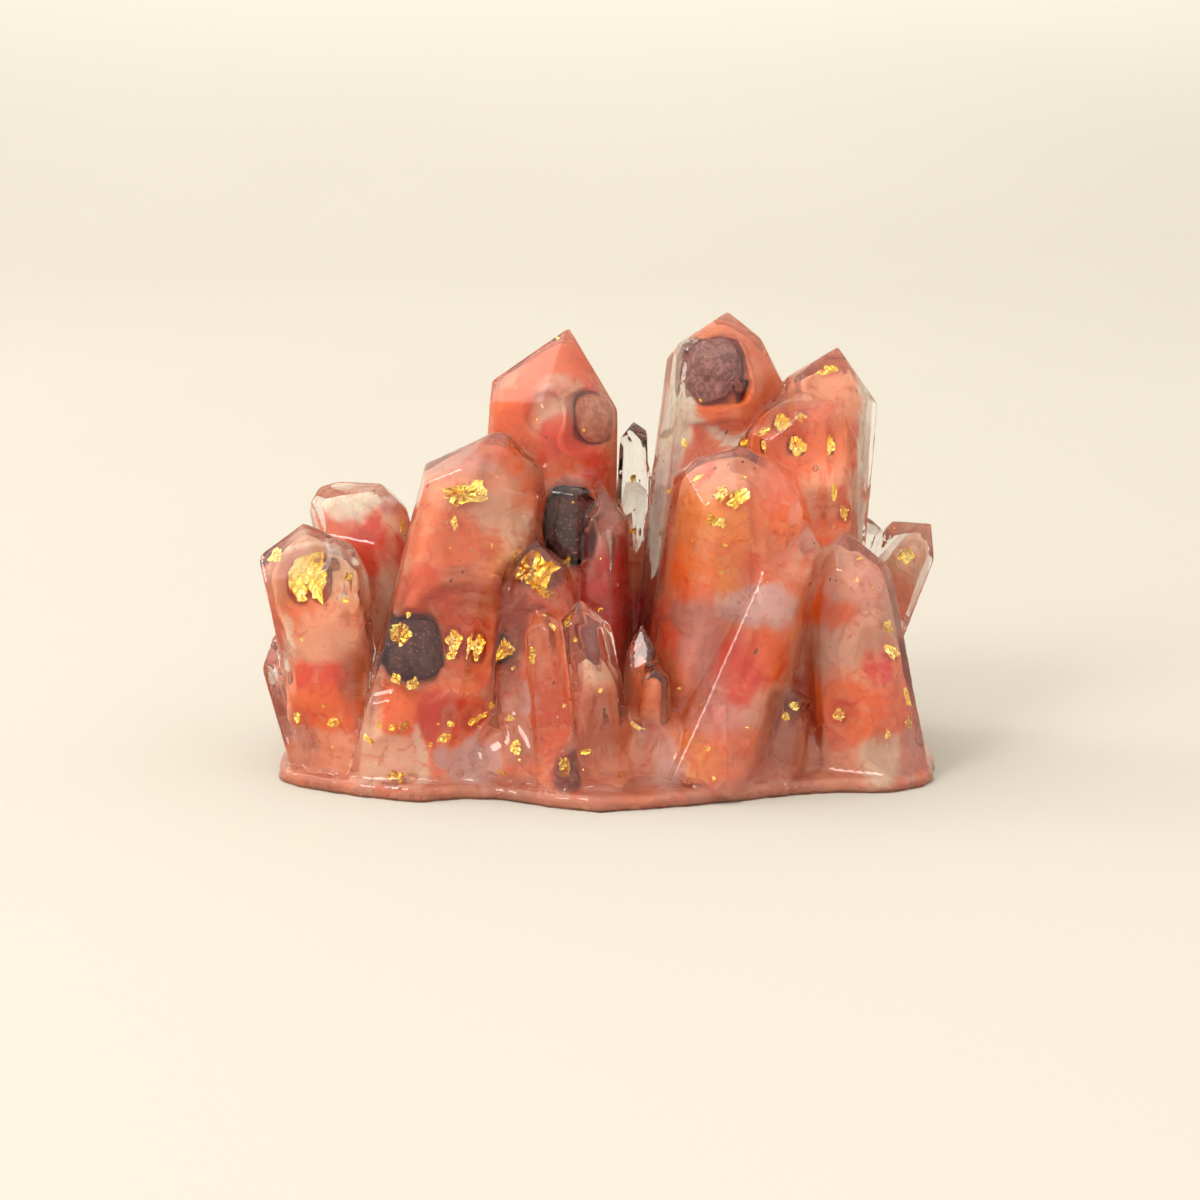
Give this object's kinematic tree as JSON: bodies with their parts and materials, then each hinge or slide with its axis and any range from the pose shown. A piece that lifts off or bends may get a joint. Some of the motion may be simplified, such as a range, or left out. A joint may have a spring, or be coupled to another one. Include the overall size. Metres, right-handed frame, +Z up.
{
  "type": "resin crystal cluster ornament",
  "caption": "Cluster of faceted points cast in tinted clear resin on a thin flat foot, with dark chips and gold leaf sealed inside.",
  "frame": {"origin": "centre of the bounding box's underside, on the surface that the foot rests on", "axes": "+X to the right along the cluster's length as seen from the front, -Y towards the front, +Z up"},
  "size_m": [0.0898, 0.0541, 0.0585],
  "materials": {
    "tinted_resin": "clear gloss, orange and pink clouds inside",
    "pigment": "milky colour set in the resin",
    "dark_chip": "grainy, seen through the resin",
    "brown_chip": "grainy, seen through the resin",
    "gold_leaf": "crumpled metal leaf"
  },
  "bodies": {
    "root": {"resin_front": "tinted_resin", "resin_back": "tinted_resin", "dark_chip_left": "dark_chip", "dark_chip_middle": "dark_chip", "brown_chip_tall_left": "brown_chip", "dark_chip_tall_right": "dark_chip", "gold_leaf_left_blunt": "gold_leaf", "gold_leaf_left_large": "gold_leaf", "gold_leaf_left_foot": "gold_leaf", "gold_leaf_middle": "gold_leaf", "gold_leaf_valley": "gold_leaf", "gold_leaf_right_inner": "gold_leaf", "gold_leaf_right_inner_low": "gold_leaf", "gold_leaf_far_right": "gold_leaf", "gold_leaf_right_large": "gold_leaf", "gold_leaf_right_foot": "gold_leaf"}
  },
  "joints": []
}
